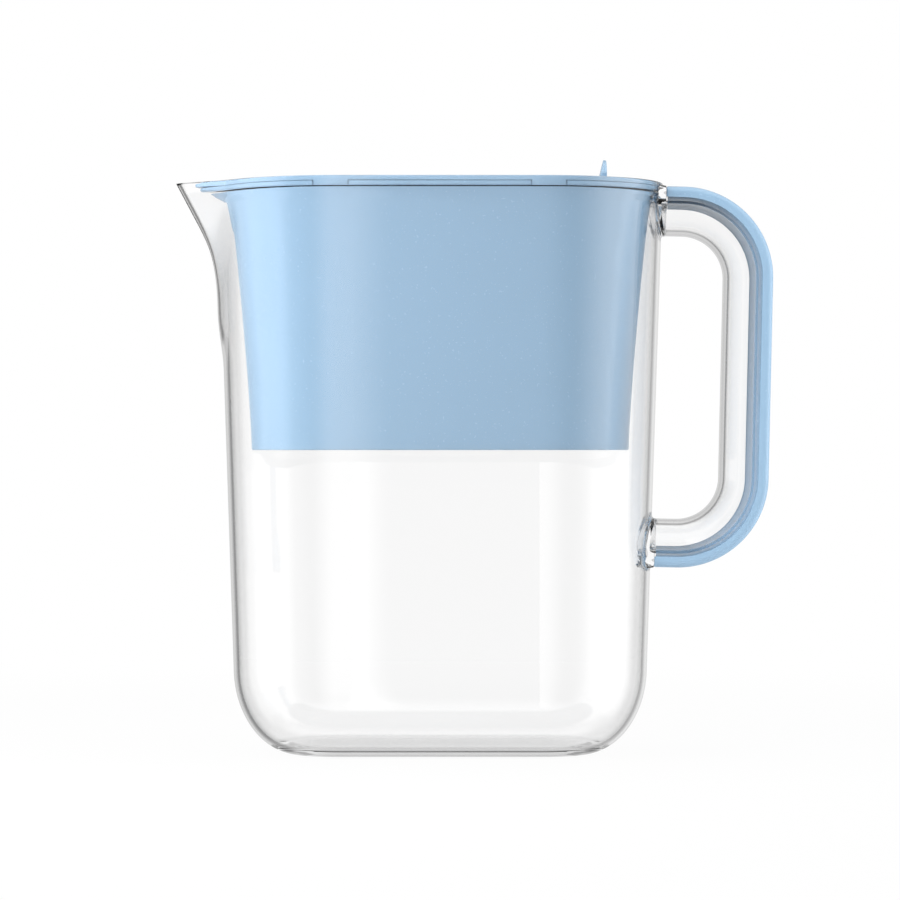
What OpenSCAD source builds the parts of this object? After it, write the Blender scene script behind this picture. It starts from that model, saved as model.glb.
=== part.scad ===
// Water filter pitcher with a flip lid.
// A clear jug carries a coloured reservoir in its rim. The reservoir holds a filter
// cartridge in a well, and a lid with a flip-up fill door closes it.
// Frame: origin in the middle of the base, +Z up, -X towards the spout, +X towards the
// handle. The jug's plan is two round ends joined by straight sides. Millimetres.

/* [Jug] */
// Height of the jug's rim above the table
jug_h = 250.5; // [240:0.5:262]
// Distance from the jug's middle to the centre of each round end
side_half = 44; // [40:0.5:50]
// Outer radius of the round ends at the rim
rim_r = 53.9; // [51:0.1:58]
// Draft of the jug's wall, in degrees
draft = 1.9; // [1.5:0.05:2.3]
// Thickness of the jug's wall
wall = 2.5; // [2.2:0.1:3]
// Thickness of the wall around the lid, above the seat
lip_t = 2.2; // [1.8:0.1:2.6]
// Thickness of the jug's floor
floor_t = 4.5; // [3:0.1:6]
// Radius of the round ends of the flat base
foot_r = 18.4; // [14:0.2:24]
// Height of the heel, the round corner between base and wall
heel_h = 38; // [28:0.5:46]
// Height of the bead inside the wall that carries the reservoir
bead_h = 5; // [3:0.5:8]

/* [Spout] */
// How far the spout's tip stands out beyond the round end
spout_reach = 18.3; // [14:0.1:22]
// Lean of the spout's ridge from upright, in degrees
spout_lean = 28; // [25:0.5:32]
// Radius of the bend where the spout leaves the wall
spout_bend_r = 60; // [45:1:70]
// Radius of the spout's nose, square to its ridge
nose_r = 8.8; // [7.5:0.1:9.5]
// Angle between each side of the spout and its middle plane
spout_half_angle = 39.5; // [36:0.5:44]

/* [Handle] */
// How far the grip's outer face stands out beyond the round end, at its upper bend
handle_reach = 47.4; // [45:0.1:54]
// Drop from the rim to the grip's upper face
handle_drop = 2.1; // [1:0.1:12]
// Length of the straight leg that the hand holds
leg_l = 87.2; // [76:0.2:98]
// Lean of the whole handle from upright, in degrees
handle_lean = 1.3; // [0.2:0.1:3]
// Outer radius of the handle's two bends
handle_bend_r = 39.5; // [34:0.5:44]
// Thickness of the clear bar
bar_t = 16.3; // [13:0.1:18]
// Half of the handle's width, across the bar and the grip
bar_half_w = 17; // [14:0.5:19]
// Wall of the bar, which is a channel that the grip closes
bar_wall = 2; // [1.6:0.1:2.6]
// Height of the clear collars that the grip ends against, above the jug's wall
collar = 0.8; // [0.5:0.1:1.5]
// Thickness of the coloured grip on the bar's back
grip_t = 4.7; // [3.5:0.1:6]
// Radius of the grip's outer corners
grip_corner_r = 3; // [2:0.1:3.4]

/* [Reservoir] */
// Height of the reservoir's lower edge above the table
res_z = 133.5; // [120:0.5:150]
// Radius of the reservoir's round ends at its lower edge
res_foot_r = 38.9; // [37:0.1:42]
// Power of the curve that the wall follows up to its flange
flare_power = 1.3; // [1:0.05:2]
// Extra radius of the short flare just under the flange
res_lip = 1.4; // [0.8:0.1:1.6]
// Thickness of the reservoir's wall and floor
res_t = 2; // [1.6:0.1:2.6]
// Thickness of the reservoir's flange
flange_t = 1.8; // [1.6:0.1:2.4]
// Height of the water floor above the reservoir's lower edge, at the well
water_floor = 43; // [40:0.5:50]
// Rise of the water floor from the well to the wall
floor_rise = 4; // [2:0.5:6]
// Number of gussets between well and floor
gussets = 6; // [4:1:8]

/* [Lid] */
// Thickness of the lid's plate
lid_t = 1.9; // [1.6:0.1:2.4]
// Depth of the ring that locates the lid in the reservoir
skirt_h = 5.2; // [3:0.2:8]
// Thickness of that ring
skirt_t = 1.6; // [1.2:0.1:2.2]
// Gap between the lid's beak and the inside of the spout's nose, where water pours out
pour_gap = 6.2; // [4:0.2:8]
// How much shorter the reservoir's beak is than the lid's
beak_step = 2.4; // [1:0.2:5]
// Depth of the reservoir's beak at its root
beak_depth = 4; // [2.5:0.1:5]
// Width of each snap tab
tab_w = 14.5; // [10:0.5:18]
// Distance of each snap tab's middle from the lid's middle
tab_x = 46.5; // [40:0.5:52]
// Thickness of the snap tabs
tab_t = 1.3; // [1:0.1:1.6]

/* [Flip lid] */
// Distance of the hinge from the jug's middle
hinge_x = 12; // [8:0.5:14]
// Length of the door from its hinge to its free end
door_l = 62.5; // [55:0.5:65]
// Width of the door
door_w = 55; // [44:1:58]
// Thickness of the door
door_t = 1.9; // [1.6:0.1:2]
// Radius of the door's hinge barrel
barrel_r = 1.7; // [1.5:0.1:1.9]
// Radius of the hinge stubs
stub_r = 1.1; // [0.9:0.05:1.2]
// Length of each hinge stub
stub_l = 2.8; // [2:0.1:3]
// Height of the thumb fin above the lid
fin_h = 10.5; // [8:0.5:14]
// Width of the thumb fin
fin_w = 24; // [16:1:30]
// Thickness of the fin at its root
fin_root_t = 3.6; // [3:0.1:4.5]
// Thickness of the fin at its tip
fin_tip_t = 1.2; // [1:0.1:2]
// Distance of the fin's back from the door's free end
fin_set = 1.6; // [1:0.1:3]

/* [Filter] */
// Outer radius of the filter's cup
cup_r = 25; // [22:0.5:26]
// Height of the filter's cup
cup_h = 44; // [40:0.5:50]
// Wall of the filter's cup and cap
cup_t = 1.4; // [1.2:0.1:2]
// Height of the intake cap above the cup
cap_h = 22; // [18:0.5:28]
// Number of intake slots around the cap
cap_slots = 18; // [12:1:24]
// Width of each intake slot
slot_w = 3.2; // [2:0.1:4]
// Thickness of the pull loop on the cap
loop_t = 3.2; // [2.4:0.1:4]
// Radius of the pull loop
loop_r = 10; // [8:0.5:12]
// Height of the resin bed
resin_h = 15; // [10:0.5:20]
// Thickness of the fleece pads
pad_t = 1.6; // [1:0.1:2.4]
// Thickness of the screens
screen_t = 0.6; // [0.4:0.1:1]
// Thickness of the rubber seal's section
seal_t = 2.4; // [2:0.1:3]

/* [Clearances] */
// Gap between pieces that lift apart or rest on each other
gap = 0.3; // [0.2:0.05:0.4]
// Gap around the lid, the flange and the door
edge_gap = 0.4; // [0.3:0.05:0.6]
// Radial gap around the hinge stubs
pin_gap = 0.1; // [0.06:0.01:0.15]

/* [Hidden] */
$fn = 96;
wall_steps = 8;                         // straight steps that follow the reservoir's curve
arc_steps = 8;                          // straight steps in a round corner of a section
eps = 0.5;                              // how far a cutter runs past the face that it cuts

// Heights, from the rim down
lid_bottom = jug_h - lid_t;
flange_top = lid_bottom - gap;
flange_bottom = flange_top - flange_t;
seat_z = flange_bottom - gap;

// Jug
end_x = side_half + rim_r;              // the round end at the rim
wall_flat = wall / cos(draft);          // the wall measured level
lip_r = rim_r - lip_t;                  // inside of the rim
seat_r = lip_r - 1.4;                   // inside of the bead under the flange
plate_r = lip_r - edge_gap;             // edge of the lid and of the flange

// Spout: its ridge starts just under the wall's skin, bends outwards and runs straight
ridge_in = 0.8;
ridge_rise = (spout_reach + ridge_in - spout_bend_r * (1 - cos(spout_lean))
    + spout_bend_r * sin(spout_lean) * tan(spout_lean)) / (tan(spout_lean) - tan(draft));
ridge_z = jug_h - ridge_rise;
ridge_x = side_half + jug_r(ridge_z) - ridge_in;
bend_top_z = ridge_z + spout_bend_r * sin(spout_lean);
spout_depth = 26;                       // how far the spout's section reaches into the jug

// Handle: the centre of the upper bend, and the bend radius of the grip's seat
seat_bend_r = handle_bend_r - grip_t;
handle_x = end_x + handle_reach - handle_bend_r;
handle_z = jug_h - handle_drop - handle_bend_r;
handle_run = handle_x - side_half - 30; // both runs reach through the wall and are cut there

// Reservoir
res_h = flange_bottom - res_z;
res_top_r = seat_r - edge_gap;          // outside of the wall under the flange
floor_z = res_z + water_floor;
well_r = cup_r + 2.2;                   // bore of the well
well_bottom = res_z + res_t;            // underside of the well's floor
well_top = floor_z + 1;

// Lid: outside of the ring that drops into the reservoir
skirt_r = res_top_r - res_t - 0.8;

// Beaks: plan angle of the spout's sides, and the tip of the lid's beak
beak_a = atan(tan(spout_half_angle) * cos(spout_lean));
beak_tip = spout_x(jug_h) - wall / cos(spout_lean) - pour_gap;

// Filter
cup_z = well_bottom + res_t + gap;
seal_z = cup_z + cup_h - 9;             // middle of the seal's groove
bed_r = cup_r - cup_t - 0.1;
cap_z = cup_z + cup_h;
resin_z = cup_z + cup_t + screen_t;
pad_1_z = resin_z + resin_h;
carbon_z = pad_1_z + pad_t;
carbon_h = cap_z - 1 - pad_t - carbon_z;
pad_2_z = carbon_z + carbon_h;

// Flip lid
axis_z = jug_h - 0.4;
door_bottom = jug_h - door_t;
recess_floor = door_bottom - gap;
frame_bottom = recess_floor - 1.6;
port_edge = 4;                          // width of the ledge that the door rests on
ear_r = barrel_r + 0.5;
tongue_w = door_w - 2 * stub_l - 1.4;   // width of the door between the ears
door_end = hinge_x + door_l;

// Radius of the jug's round ends, outside, at height z
function jug_r(z) = rim_r - (jug_h - z) * tan(draft);

// Radius of the reservoir's round ends, outside, at height z
function res_r(z) = let (u = max(0, z - res_z) / res_h)
    res_foot_r + (res_top_r - res_lip - res_foot_r) * pow(u, flare_power) + res_lip * pow(u, 16);

// Distance of the spout's straight ridge from the jug's middle at height z
function spout_x(z) = end_x + spout_reach - (jug_h - z) * tan(spout_lean);

// Points on an arc around c, from one angle to another
function arc(c, r, from, to) = [for (i = [0 : arc_steps])
    let (a = from + (to - from) * i / arc_steps) c + r * [cos(a), sin(a)]];

// ---- shared shapes ----

// Two circles joined by straight sides: the plan that every layer shares
module stadium(r) {
    for (s = [-1, 1]) translate([s * side_half, 0]) circle(r);
    square([2 * side_half, 2 * r], center = true);
}

// Carries a profile (radius, height) around the stadium's edge
module around_stadium() {
    for (turn = [0, 180]) rotate(turn) translate([side_half, 0, 0])
        rotate(-90) rotate_extrude(angle = 180) children();
    translate([-side_half, 0, 0]) rotate([90, 0, 90]) linear_extrude(2 * side_half) {
        children();
        mirror([1, 0]) children();
    }
}

// ---- jug ----

// Points of the heel, a quarter of an ellipse, set in by side and by bottom
function heel(side, bottom) = [for (i = [0 : arc_steps]) let (a = 90 * i / arc_steps)
    [foot_r + (jug_r(heel_h) - side - foot_r) * sin(a), heel_h - (heel_h - bottom) * cos(a)]];

// Half of the jug's outer section, grown by t
module jug_section(t) polygon(concat([[0, 0]], heel(-t, 0),
    [[jug_r(jug_h) + t, jug_h], [0, jug_h]]));

// The hollow inside: the wall, the bead that carries the reservoir, and the wider rim
module jug_hollow_section() {
    bead_z = seat_z - bead_h;
    polygon(concat([[0, floor_t]], heel(wall_flat, floor_t), [[jug_r(bead_z) - wall_flat, bead_z],
        [seat_r, bead_z + bead_h / 2], [seat_r, seat_z], [lip_r, seat_z], [lip_r, jug_h + eps],
        [0, jug_h + eps]]));
}

// Section of the spout, square to its ridge, with its tip at x = 0, set in by t
module spout_section(t) {
    a = spout_half_angle;
    nose = arc([nose_r, 0], nose_r - t, 270 - a, 90 + a);
    spread = nose[arc_steps][1] + (spout_depth - nose[0][0]) * tan(a);
    polygon(concat(nose, [[spout_depth, spread], [spout_depth, -spread]]));
}

// The section carried up the ridge: a bend, and a straight run on past the rim
module spout(t) translate([-ridge_x - spout_bend_r, 0, ridge_z]) rotate([0, -spout_lean, 0]) {
    translate([spout_bend_r, 0, 0])
        linear_extrude((jug_h - bend_top_z) / cos(spout_lean) + 16) spout_section(t);
    mirror([0, 0, 1]) rotate([90, 0, 0]) rotate_extrude(angle = spout_lean)
        translate([spout_bend_r, 0]) spout_section(t);
}

// Points on the half ellipse of the bar, set in by t: x is 0 on the grip's seat and negative
// towards the hand
function bar_line(t) = [for (i = [0 : 2 * arc_steps]) let (a = 90 + 90 * i / arc_steps)
    [(bar_t - t) * cos(a), (bar_half_w - t) * sin(a)]];

// Section of the clear bar: a half ellipse
module bar_section() polygon(bar_line(0));

// The channel inside the bar
module channel_section() polygon(bar_line(bar_wall));

// Section of the grip, outwards from its seat
module grip_section() {
    c = [grip_t - grip_corner_r, bar_half_w - grip_corner_r];
    polygon(concat([[0, bar_half_w], [0, -bar_half_w]], arc([c[0], -c[1]], grip_corner_r, -90, 0),
        arc(c, grip_corner_r, 0, 90)));
}

// The handle's path, drawn upright and leant as a whole: run, bend, leg, bend, run
module handle_path() translate([handle_x, 0, handle_z]) rotate([0, handle_lean, 0]) {
    half_path() children();
    translate([seat_bend_r, 0, -leg_l]) linear_extrude(leg_l) children();
    translate([0, 0, -leg_l]) mirror([0, 0, 1]) half_path() children();
}

// A bend, and the run from its end into the jug's wall
module half_path() {
    rotate([90, 0, 0]) rotate_extrude(angle = 90) translate([seat_bend_r, 0]) children();
    translate([0, 0, seat_bend_r]) rotate([0, -90, 0]) linear_extrude(handle_run) children();
}

// Everything on the jug's side of a plane that stands t off the wall and leans with it
module behind_wall(t) translate([end_x + t, 0, jug_h]) rotate([0, draft, 0])
    translate([-60, -40, -2 * jug_h]) cube([60, 80, 3 * jug_h]);

module pitcher_body() color("gainsboro", 0.45) difference() {
    union() {
        around_stadium() jug_section(0);
        spout(0);
    }
    around_stadium() jug_hollow_section();
    spout(wall);
    translate([-end_x - 40, -50, jug_h]) cube([100, 100, 40]);
}

// The handle's clear bar, which is moulded in one with the jug, hollow from wall to wall
module handle_bar() color("gainsboro", 0.45) difference() {
    union() {
        handle_path() bar_section();
        intersection() {
            handle_path() grip_section();
            behind_wall(collar);
        }
    }
    handle_path() channel_section();
    around_stadium() jug_section(0);
}

module handle_grip() color("lightskyblue") difference() {
    handle_path() grip_section();
    behind_wall(collar + edge_gap);
}

// ---- reservoir ----

// Points of the reservoir's wall from the top down, set in by t
function wall_line(t) = [for (i = [wall_steps : -1 : 0])
    let (z = res_z + res_h * i / wall_steps) [res_r(z) - t, z]];

// Half of the reservoir's section: wall and flange
module reservoir_section() {
    polygon(concat([for (i = [0 : wall_steps]) wall_line(0)[wall_steps - i]],
        wall_line(res_t)));
    translate([res_r(flange_bottom) - res_t, flange_bottom])
        square([plate_r - res_r(flange_bottom) + res_t, flange_t]);
}

// Half of the water floor's section, which slopes from the wall down to the well
module water_floor_section() intersection() {
    wall_z = floor_z + floor_rise;
    slope = floor_rise / res_r(wall_z);
    reach = side_half + rim_r;
    polygon([[0, floor_z - res_t], [reach, floor_z - res_t + slope * reach],
        [reach, floor_z + slope * reach], [0, floor_z]]);
    polygon(concat(wall_line(res_t), [[0, res_z], [0, flange_bottom]]));
}

// The lid's four snap tabs, w wide, in a band between two sizes of the plan
module tab_band(inner, outer, w) difference() {
    intersection() {
        stadium(outer);
        for (sx = [-1, 1], sy = [-1, 1]) translate([sx * tab_x, sy * rim_r])
            square([w, rim_r], center = true);
    }
    stadium(inner);
}

// Plan of a beak over the spout, clear of the spout's sides at height z
module beak_plan(z, tip) {
    side_r = nose_r - wall - edge_gap;
    apex = spout_x(z) - (nose_r - side_r / sin(spout_half_angle)) / cos(spout_lean);
    r = (apex - tip) / (1 / sin(beak_a) - 1);
    root = side_half + plate_r - 12;
    spread = (apex - root) * tan(beak_a);
    polygon(concat(arc([-tip + r, 0], r, 90 + beak_a, 270 - beak_a), [[-root, -spread],
        [-root, spread]]));
}

// A beak from its root in the plate to its tip: level on top, sloping below
module beak(root_z, tip_z, top, tip) intersection() {
    root = side_half + plate_r;
    translate([0, 0, root_z]) linear_extrude(top - root_z) beak_plan(root_z, tip);
    translate([0, 50, 0]) rotate([90, 0, 0]) linear_extrude(100) polygon([[3 - root, root_z],
        [3 - root, top], [-tip - 2, top], [-tip - 2, tip_z], [1 - root, root_z]]);
}

// The well that the cartridge hangs in, with gussets up to the water floor
module well() {
    translate([0, 0, well_bottom]) cylinder(r = well_r + res_t, h = well_top - well_bottom);
    for (i = [0 : gussets - 1]) rotate((i + 0.5) * 360 / gussets)
        translate([well_r, -res_t / 2, well_bottom + 8])
            cube([res_t + 8, res_t, floor_z - res_t / 2 - well_bottom - 8]);
}

// The well's bore, and the ring of holes in its floor through which the water leaves
module well_bore() {
    translate([0, 0, well_bottom + res_t]) cylinder(r = well_r, h = res_h);
    translate([0, 0, well_bottom - eps]) cylinder(r = 5, h = res_t + 2 * eps);
    for (i = [0 : 7]) rotate(i * 45) translate([14, 0, well_bottom - eps])
        cylinder(r = 3.5, h = res_t + 2 * eps);
}

module reservoir() color("skyblue") difference() {
    union() {
        around_stadium() reservoir_section();
        beak(flange_top - beak_depth, flange_top - 0.8, flange_top, beak_tip - beak_step);
    }
    translate([0, 0, flange_bottom - eps]) linear_extrude(flange_t + 2 * eps)
        tab_band(plate_r - tab_t - edge_gap, rim_r, tab_w + 2 * edge_gap);
}

// The water floor and its well, which are moulded in one with the reservoir's wall
module filter_well() color("skyblue") difference() {
    union() {
        around_stadium() water_floor_section();
        well();
    }
    well_bore();
}

// ---- lid ----

// A rounded rectangle from x0 to x1, w wide
module round_plate(x0, x1, w, r) {
    for (x = [x0 + r, x1 - r], y = [r - w / 2, w / 2 - r]) translate([x, y]) circle(r);
    translate([x0 + r, -w / 2]) square([x1 - x0 - 2 * r, w]);
    translate([x0, r - w / 2]) square([x1 - x0, w - 2 * r]);
}

// One ear of the hinge
module ear(side) {
    y = side * (tongue_w / 2 + edge_gap + stub_l / 2);
    translate([hinge_x, y, axis_z]) rotate([90, 0, 0])
        cylinder(r = ear_r, h = stub_l, center = true);
    translate([hinge_x - ear_r, y - stub_l / 2, frame_bottom])
        cube([2 * ear_r, stub_l, axis_z - frame_bottom]);
}

// A shape on the hinge's axis, of radius r and length l
module on_hinge(r, l) translate([hinge_x, 0, axis_z]) rotate([90, 0, 0])
    cylinder(r = r, h = l, center = true);

// Plate, beak, locating ring, snap tabs and the thicker frame around the door
module lid_blank() {
    overlap = 0.2;
    translate([0, 0, lid_bottom]) linear_extrude(lid_t) stadium(plate_r);
    beak(lid_bottom, jug_h - 1, jug_h, beak_tip);
    translate([0, 0, lid_bottom - skirt_h]) linear_extrude(skirt_h + overlap) difference() {
        stadium(skirt_r);
        stadium(skirt_r - skirt_t);
    }
    translate([0, 0, flange_bottom]) linear_extrude(lid_bottom - flange_bottom + overlap)
        tab_band(plate_r - tab_t, plate_r, tab_w);
    translate([0, 0, frame_bottom]) linear_extrude(lid_bottom - frame_bottom + overlap)
        intersection() {
            round_plate(hinge_x - ear_r - 2.4, door_end + 2.4, door_w + 4.8, 5);
            stadium(skirt_r - skirt_t / 2);
        }
}

// The step that the door lies in
module door_recess() translate([0, 0, recess_floor]) linear_extrude(10)
    round_plate(hinge_x - ear_r - edge_gap, door_end + edge_gap, door_w + 2 * edge_gap, 3);

module fill_port() translate([0, 0, frame_bottom - eps]) linear_extrude(10)
    round_plate(hinge_x + ear_r + port_edge, door_end - port_edge, door_w - 2 * port_edge, 6);

module lid() color("lightblue") difference() {
    union() {
        difference() {
            lid_blank();
            door_recess();
        }
        ear(-1);
        ear(1);
    }
    fill_port();
    on_hinge(stub_r + pin_gap, tongue_w + 2 * (edge_gap + stub_l) + 0.4);
    on_hinge(barrel_r + gap, tongue_w + 2 * edge_gap);
}

// The thumb fin: a leaning blade with an upright back, curved in plan and round on top
module fin() {
    x1 = door_end - fin_set;
    crown = 0.6 * fin_w;
    intersection() {
        rotate([90, 0, 0]) translate([0, 0, -fin_w / 2]) linear_extrude(fin_w) polygon([
            [x1 - fin_root_t, jug_h - 1], [x1 - fin_tip_t, jug_h + fin_h], [x1, jug_h + fin_h],
            [x1, jug_h - 1]]);
        translate([x1 - fin_root_t - 1, 0, jug_h + fin_h - crown]) rotate([0, 90, 0])
            cylinder(r = crown, h = fin_root_t + 2);
    }
}

module flip_lid() color("powderblue") {
    translate([0, 0, door_bottom]) linear_extrude(door_t) {
        round_plate(hinge_x + ear_r + 0.7, door_end, door_w, 2.6);
        translate([hinge_x, -tongue_w / 2]) square([ear_r + 8, tongue_w]);
    }
    on_hinge(barrel_r, tongue_w);
    on_hinge(stub_r, tongue_w + 2 * stub_l);
    fin();
}

// ---- filter ----

// Half of the cup's section: chamfered foot, wall, and two ribs that hold the seal
module cup_section() {
    rib = 1;
    polygon([[0, 0], [cup_r - 2, 0], [cup_r, 2], [cup_r, cup_h], [cup_r - cup_t, cup_h],
        [cup_r - cup_t, cup_t], [0, cup_t]]);
    for (z = [-seal_t / 2 - rib, seal_t / 2])
        translate([cup_r - cup_t / 2, seal_z - cup_z + z]) square([rib + cup_t / 2, rib]);
}

module filter_cup() color("white") difference() {
    translate([0, 0, cup_z]) rotate_extrude() cup_section();
    for (ring = [1 : 2], i = [0 : 8 * ring - 1]) rotate(i * 45 / ring)
        translate([9 * ring, 0, cup_z - eps]) cylinder(r = 1.6, h = cup_t + 2 * eps);
}

// A ring with a pointed lip that meets the well
module filter_seal() color("dimgray") translate([0, 0, seal_z]) rotate_extrude()
    translate([cup_r, -seal_t / 2]) polygon([[0, 0], [1.3, 0], [well_r - cup_r - gap, seal_t / 2],
        [1.3, seal_t], [0, seal_t]]);

// Half of the cap's section: an open bell with a bevelled shoulder
module cap_section() polygon([[0, cap_h - cup_t], [cup_r - cup_t - 4, cap_h - cup_t],
    [cup_r - cup_t, cap_h - 5], [cup_r - cup_t, 0], [cup_r, 0], [cup_r, cap_h - 5],
    [cup_r - 4, cap_h], [0, cap_h]]);

module filter_cap() color("white") {
    difference() {
        translate([0, 0, cap_z]) rotate_extrude() cap_section();
        for (i = [0 : cap_slots - 1]) rotate(i * 360 / cap_slots)
            translate([cup_r - 5, -slot_w / 2, cap_z + 2]) cube([10, slot_w, cap_h - 9]);
        for (i = [0 : 5]) rotate(i * 60) translate([15, 0, cap_z + cap_h - 4])
            cylinder(r = 1.5, h = 8);
    }
    translate([0, 0, cap_z + cap_h - 0.4]) rotate([90, 0, 0]) rotate_extrude(angle = 180)
        translate([loop_r, 0]) square([loop_t, 2 * loop_t], center = true);
}

module inlet_screen() color("whitesmoke") translate([0, 0, cap_z + 0.6]) difference() {
    cylinder(r = cup_r - cup_t - 0.1, h = cap_h - 6.2);
    translate([0, 0, -eps]) cylinder(r = cup_r - cup_t - 0.1 - screen_t, h = cap_h);
}

module disc(z, h) translate([0, 0, z]) cylinder(r = bed_r, h = h);

module top_pad() color("snow") disc(pad_2_z, pad_t);
module carbon_bed() color("black") disc(carbon_z, carbon_h);
module divider_pad() color("snow") disc(pad_1_z, pad_t);
module resin_bed() color("goldenrod") disc(resin_z, resin_h);
module outlet_screen() color("silver") disc(cup_z + cup_t, screen_t);

pitcher_body();
handle_bar();
handle_grip();
reservoir();
filter_well();
lid();
flip_lid();
filter_cup();
filter_cap();
filter_seal();
inlet_screen();
carbon_bed();
resin_bed();
top_pad();
divider_pad();
outlet_screen();
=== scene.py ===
# %% [markdown]
# # A water filter pitcher with a flip lid
#
# The pitcher is a clear moulded jug with a pouring spout and a handle. A coloured reservoir sits in
# its rim and shows through the wall, a lid with a small flip door closes it, and a coloured strip
# runs along the back of the handle.
#
# The solids from the CAD model are loaded as a frame. They have the right sizes and places, and
# some of them only need a finish. The jug and the reservoir are made again here as smooth
# surfaces, because clear and satin plastic show every facet.

# %% Load the frame
import math

import bmesh
import bpy
import numpy as np
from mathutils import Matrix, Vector


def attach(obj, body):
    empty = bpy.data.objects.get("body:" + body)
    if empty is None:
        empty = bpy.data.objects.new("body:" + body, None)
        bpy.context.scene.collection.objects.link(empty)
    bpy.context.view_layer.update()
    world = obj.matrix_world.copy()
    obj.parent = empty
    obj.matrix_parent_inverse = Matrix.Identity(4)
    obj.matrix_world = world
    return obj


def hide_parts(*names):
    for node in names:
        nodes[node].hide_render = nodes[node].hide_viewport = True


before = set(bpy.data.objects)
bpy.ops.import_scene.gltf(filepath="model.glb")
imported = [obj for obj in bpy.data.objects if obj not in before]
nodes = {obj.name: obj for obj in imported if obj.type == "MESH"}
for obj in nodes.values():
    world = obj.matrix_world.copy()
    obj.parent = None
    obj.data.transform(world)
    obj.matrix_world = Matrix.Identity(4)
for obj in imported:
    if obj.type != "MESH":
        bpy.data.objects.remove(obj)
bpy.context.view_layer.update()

MM = 0.001

# %% [markdown]
# ## Surfaces from grids
#
# A surface is a function of two parameters. Worked out for a whole grid at once, it gives an array
# of points, rows by columns, and the faces are the squares between neighbours. Drawing in edit mode
# or with curves would also do, but a formula can be changed by one number.


# %% Turn a grid of points into a piece
def grid_faces(rows, cols, close_rows=False, close_cols=True):
    """Quads between neighbours: (i, j), (i, j + 1), (i + 1, j + 1), (i + 1, j), where closed ends
    run on to the first row or column."""
    i, j = np.meshgrid(np.arange(rows - (not close_rows)), np.arange(cols - (not close_cols)),
                       indexing="ij")
    i2, j2 = (i + 1) % rows, (j + 1) % cols
    return np.stack([i * cols + j, i * cols + j2, i2 * cols + j2, i2 * cols + j], -1).reshape(-1, 4)


def piece_from(name, points, faces, body, sharp=35):
    """A piece from points in millimetres. Doubles are merged, which closes seams and poles, and
    normals are turned outwards. Edges sharper than the given angle stay crisp."""
    mesh = bpy.data.meshes.new(name)
    faces = faces if isinstance(faces, list) else faces.tolist()
    mesh.from_pydata((np.asarray(points).reshape(-1, 3) * MM).tolist(), [], faces)
    bm = bmesh.new()
    bm.from_mesh(mesh)
    bmesh.ops.remove_doubles(bm, verts=bm.verts, dist=2e-6)
    bmesh.ops.dissolve_degenerate(bm, edges=bm.edges, dist=1e-6)
    bmesh.ops.recalc_face_normals(bm, faces=bm.faces)
    bm.to_mesh(mesh)
    bm.free()
    mesh.shade_smooth()
    mesh.set_sharp_from_angle(angle=math.radians(sharp))
    piece = bpy.data.objects.new(name, mesh)
    bpy.context.scene.collection.objects.link(piece)
    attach(piece, body)
    print(name, "faces:", len(mesh.polygons))
    return piece


# %% [markdown]
# ## The plan that every layer shares
#
# Seen from above, jug, reservoir and lid are two half circles joined by straight sides. Such a
# shape is a short line grown by a radius, so a point on it is an origin on the line plus the radius
# times a direction. The columns of every grid follow these origins and directions, and stand
# closer together around the spout.

# %% Columns around the plan
SIDE = 44.0           # half the length of the line between the two round ends
END_COLUMNS, SIDE_COLUMNS, SPOUT_COLUMNS = 80, 12, 150


def plan_columns():
    """Origins and unit directions: the handle end, one side, the spout end, the other side.
    On the spout end the angle is 180 + 90 g(t) degrees with g(t) = 0.35 t + 0.65 t cubed."""
    t = np.linspace(-1, 1, SPOUT_COLUMNS, endpoint=False)
    side = np.linspace(1, -1, SIDE_COLUMNS, endpoint=False)
    angle = np.radians(np.concatenate([
        np.linspace(-90, 90, END_COLUMNS, endpoint=False), np.full(SIDE_COLUMNS, 90.0),
        180 + 90 * (0.35 * t + 0.65 * t ** 3), np.full(SIDE_COLUMNS, 270.0)]))
    x = SIDE * np.concatenate([np.ones(END_COLUMNS), side, -np.ones(SPOUT_COLUMNS), -side])
    origin = np.stack([x, np.zeros_like(x)], -1)
    return origin, np.stack([np.cos(angle), np.sin(angle)], -1)


origins, directions = plan_columns()
print("columns:", len(origins))

# %% [markdown]
# ## The jug's sizes
#
# The jug is moulded in clear plastic about 2.5 mm thick. Its wall leans out by two degrees so
# that it leaves the mould, its heel is a quarter of an ellipse, and the rim is stepped on the
# inside to take the reservoir.

# %% Sizes of the jug
RIM_Z = 250.5         # rim above the table
RIM_R = 53.9          # radius of the round ends at the rim
DRAFT = math.tan(math.radians(1.9))
WALL = 2.5
LIP = 2.2             # wall around the lid
FLOOR = 4.5
FLOOR_BLEND = 0.15    # softness of the line between floor and heel, in square millimetres
FOOT_R = 18.4         # radius of the flat base
HEEL = 38.0           # height of the heel
SEAT_Z = 246.2        # height of the step that carries the reservoir
SEAT_WIDTH = 1.4
BEAD = 5.0            # height of the thicker wall under the step
EDGE = 0.7            # rounding of the rim
SEAT_EDGE = 1.0       # rounding of the step
GAP = 0.4             # clearance between pieces, seen from above


def jug_r(z):
    """Outer radius of the round ends, falling from the rim by the draft."""
    return RIM_R - (RIM_Z - z) * DRAFT


def heel(inset, steps=34):
    """Quarter of an ellipse from the base up to the wall, as radius and height, moved inwards
    along its own normal: (a sin t, -b cos t) has the normal (b sin t, -a cos t)."""
    t = np.linspace(0, np.pi / 2, steps)
    wide, tall = jug_r(HEEL) - FOOT_R, HEEL
    normal = np.stack([tall * np.sin(t), -wide * np.cos(t)], -1)
    normal /= np.linalg.norm(normal, axis=1, keepdims=True)
    return np.stack([FOOT_R + wide * np.sin(t), tall * (1 - np.cos(t))], -1) - inset * normal


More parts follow.
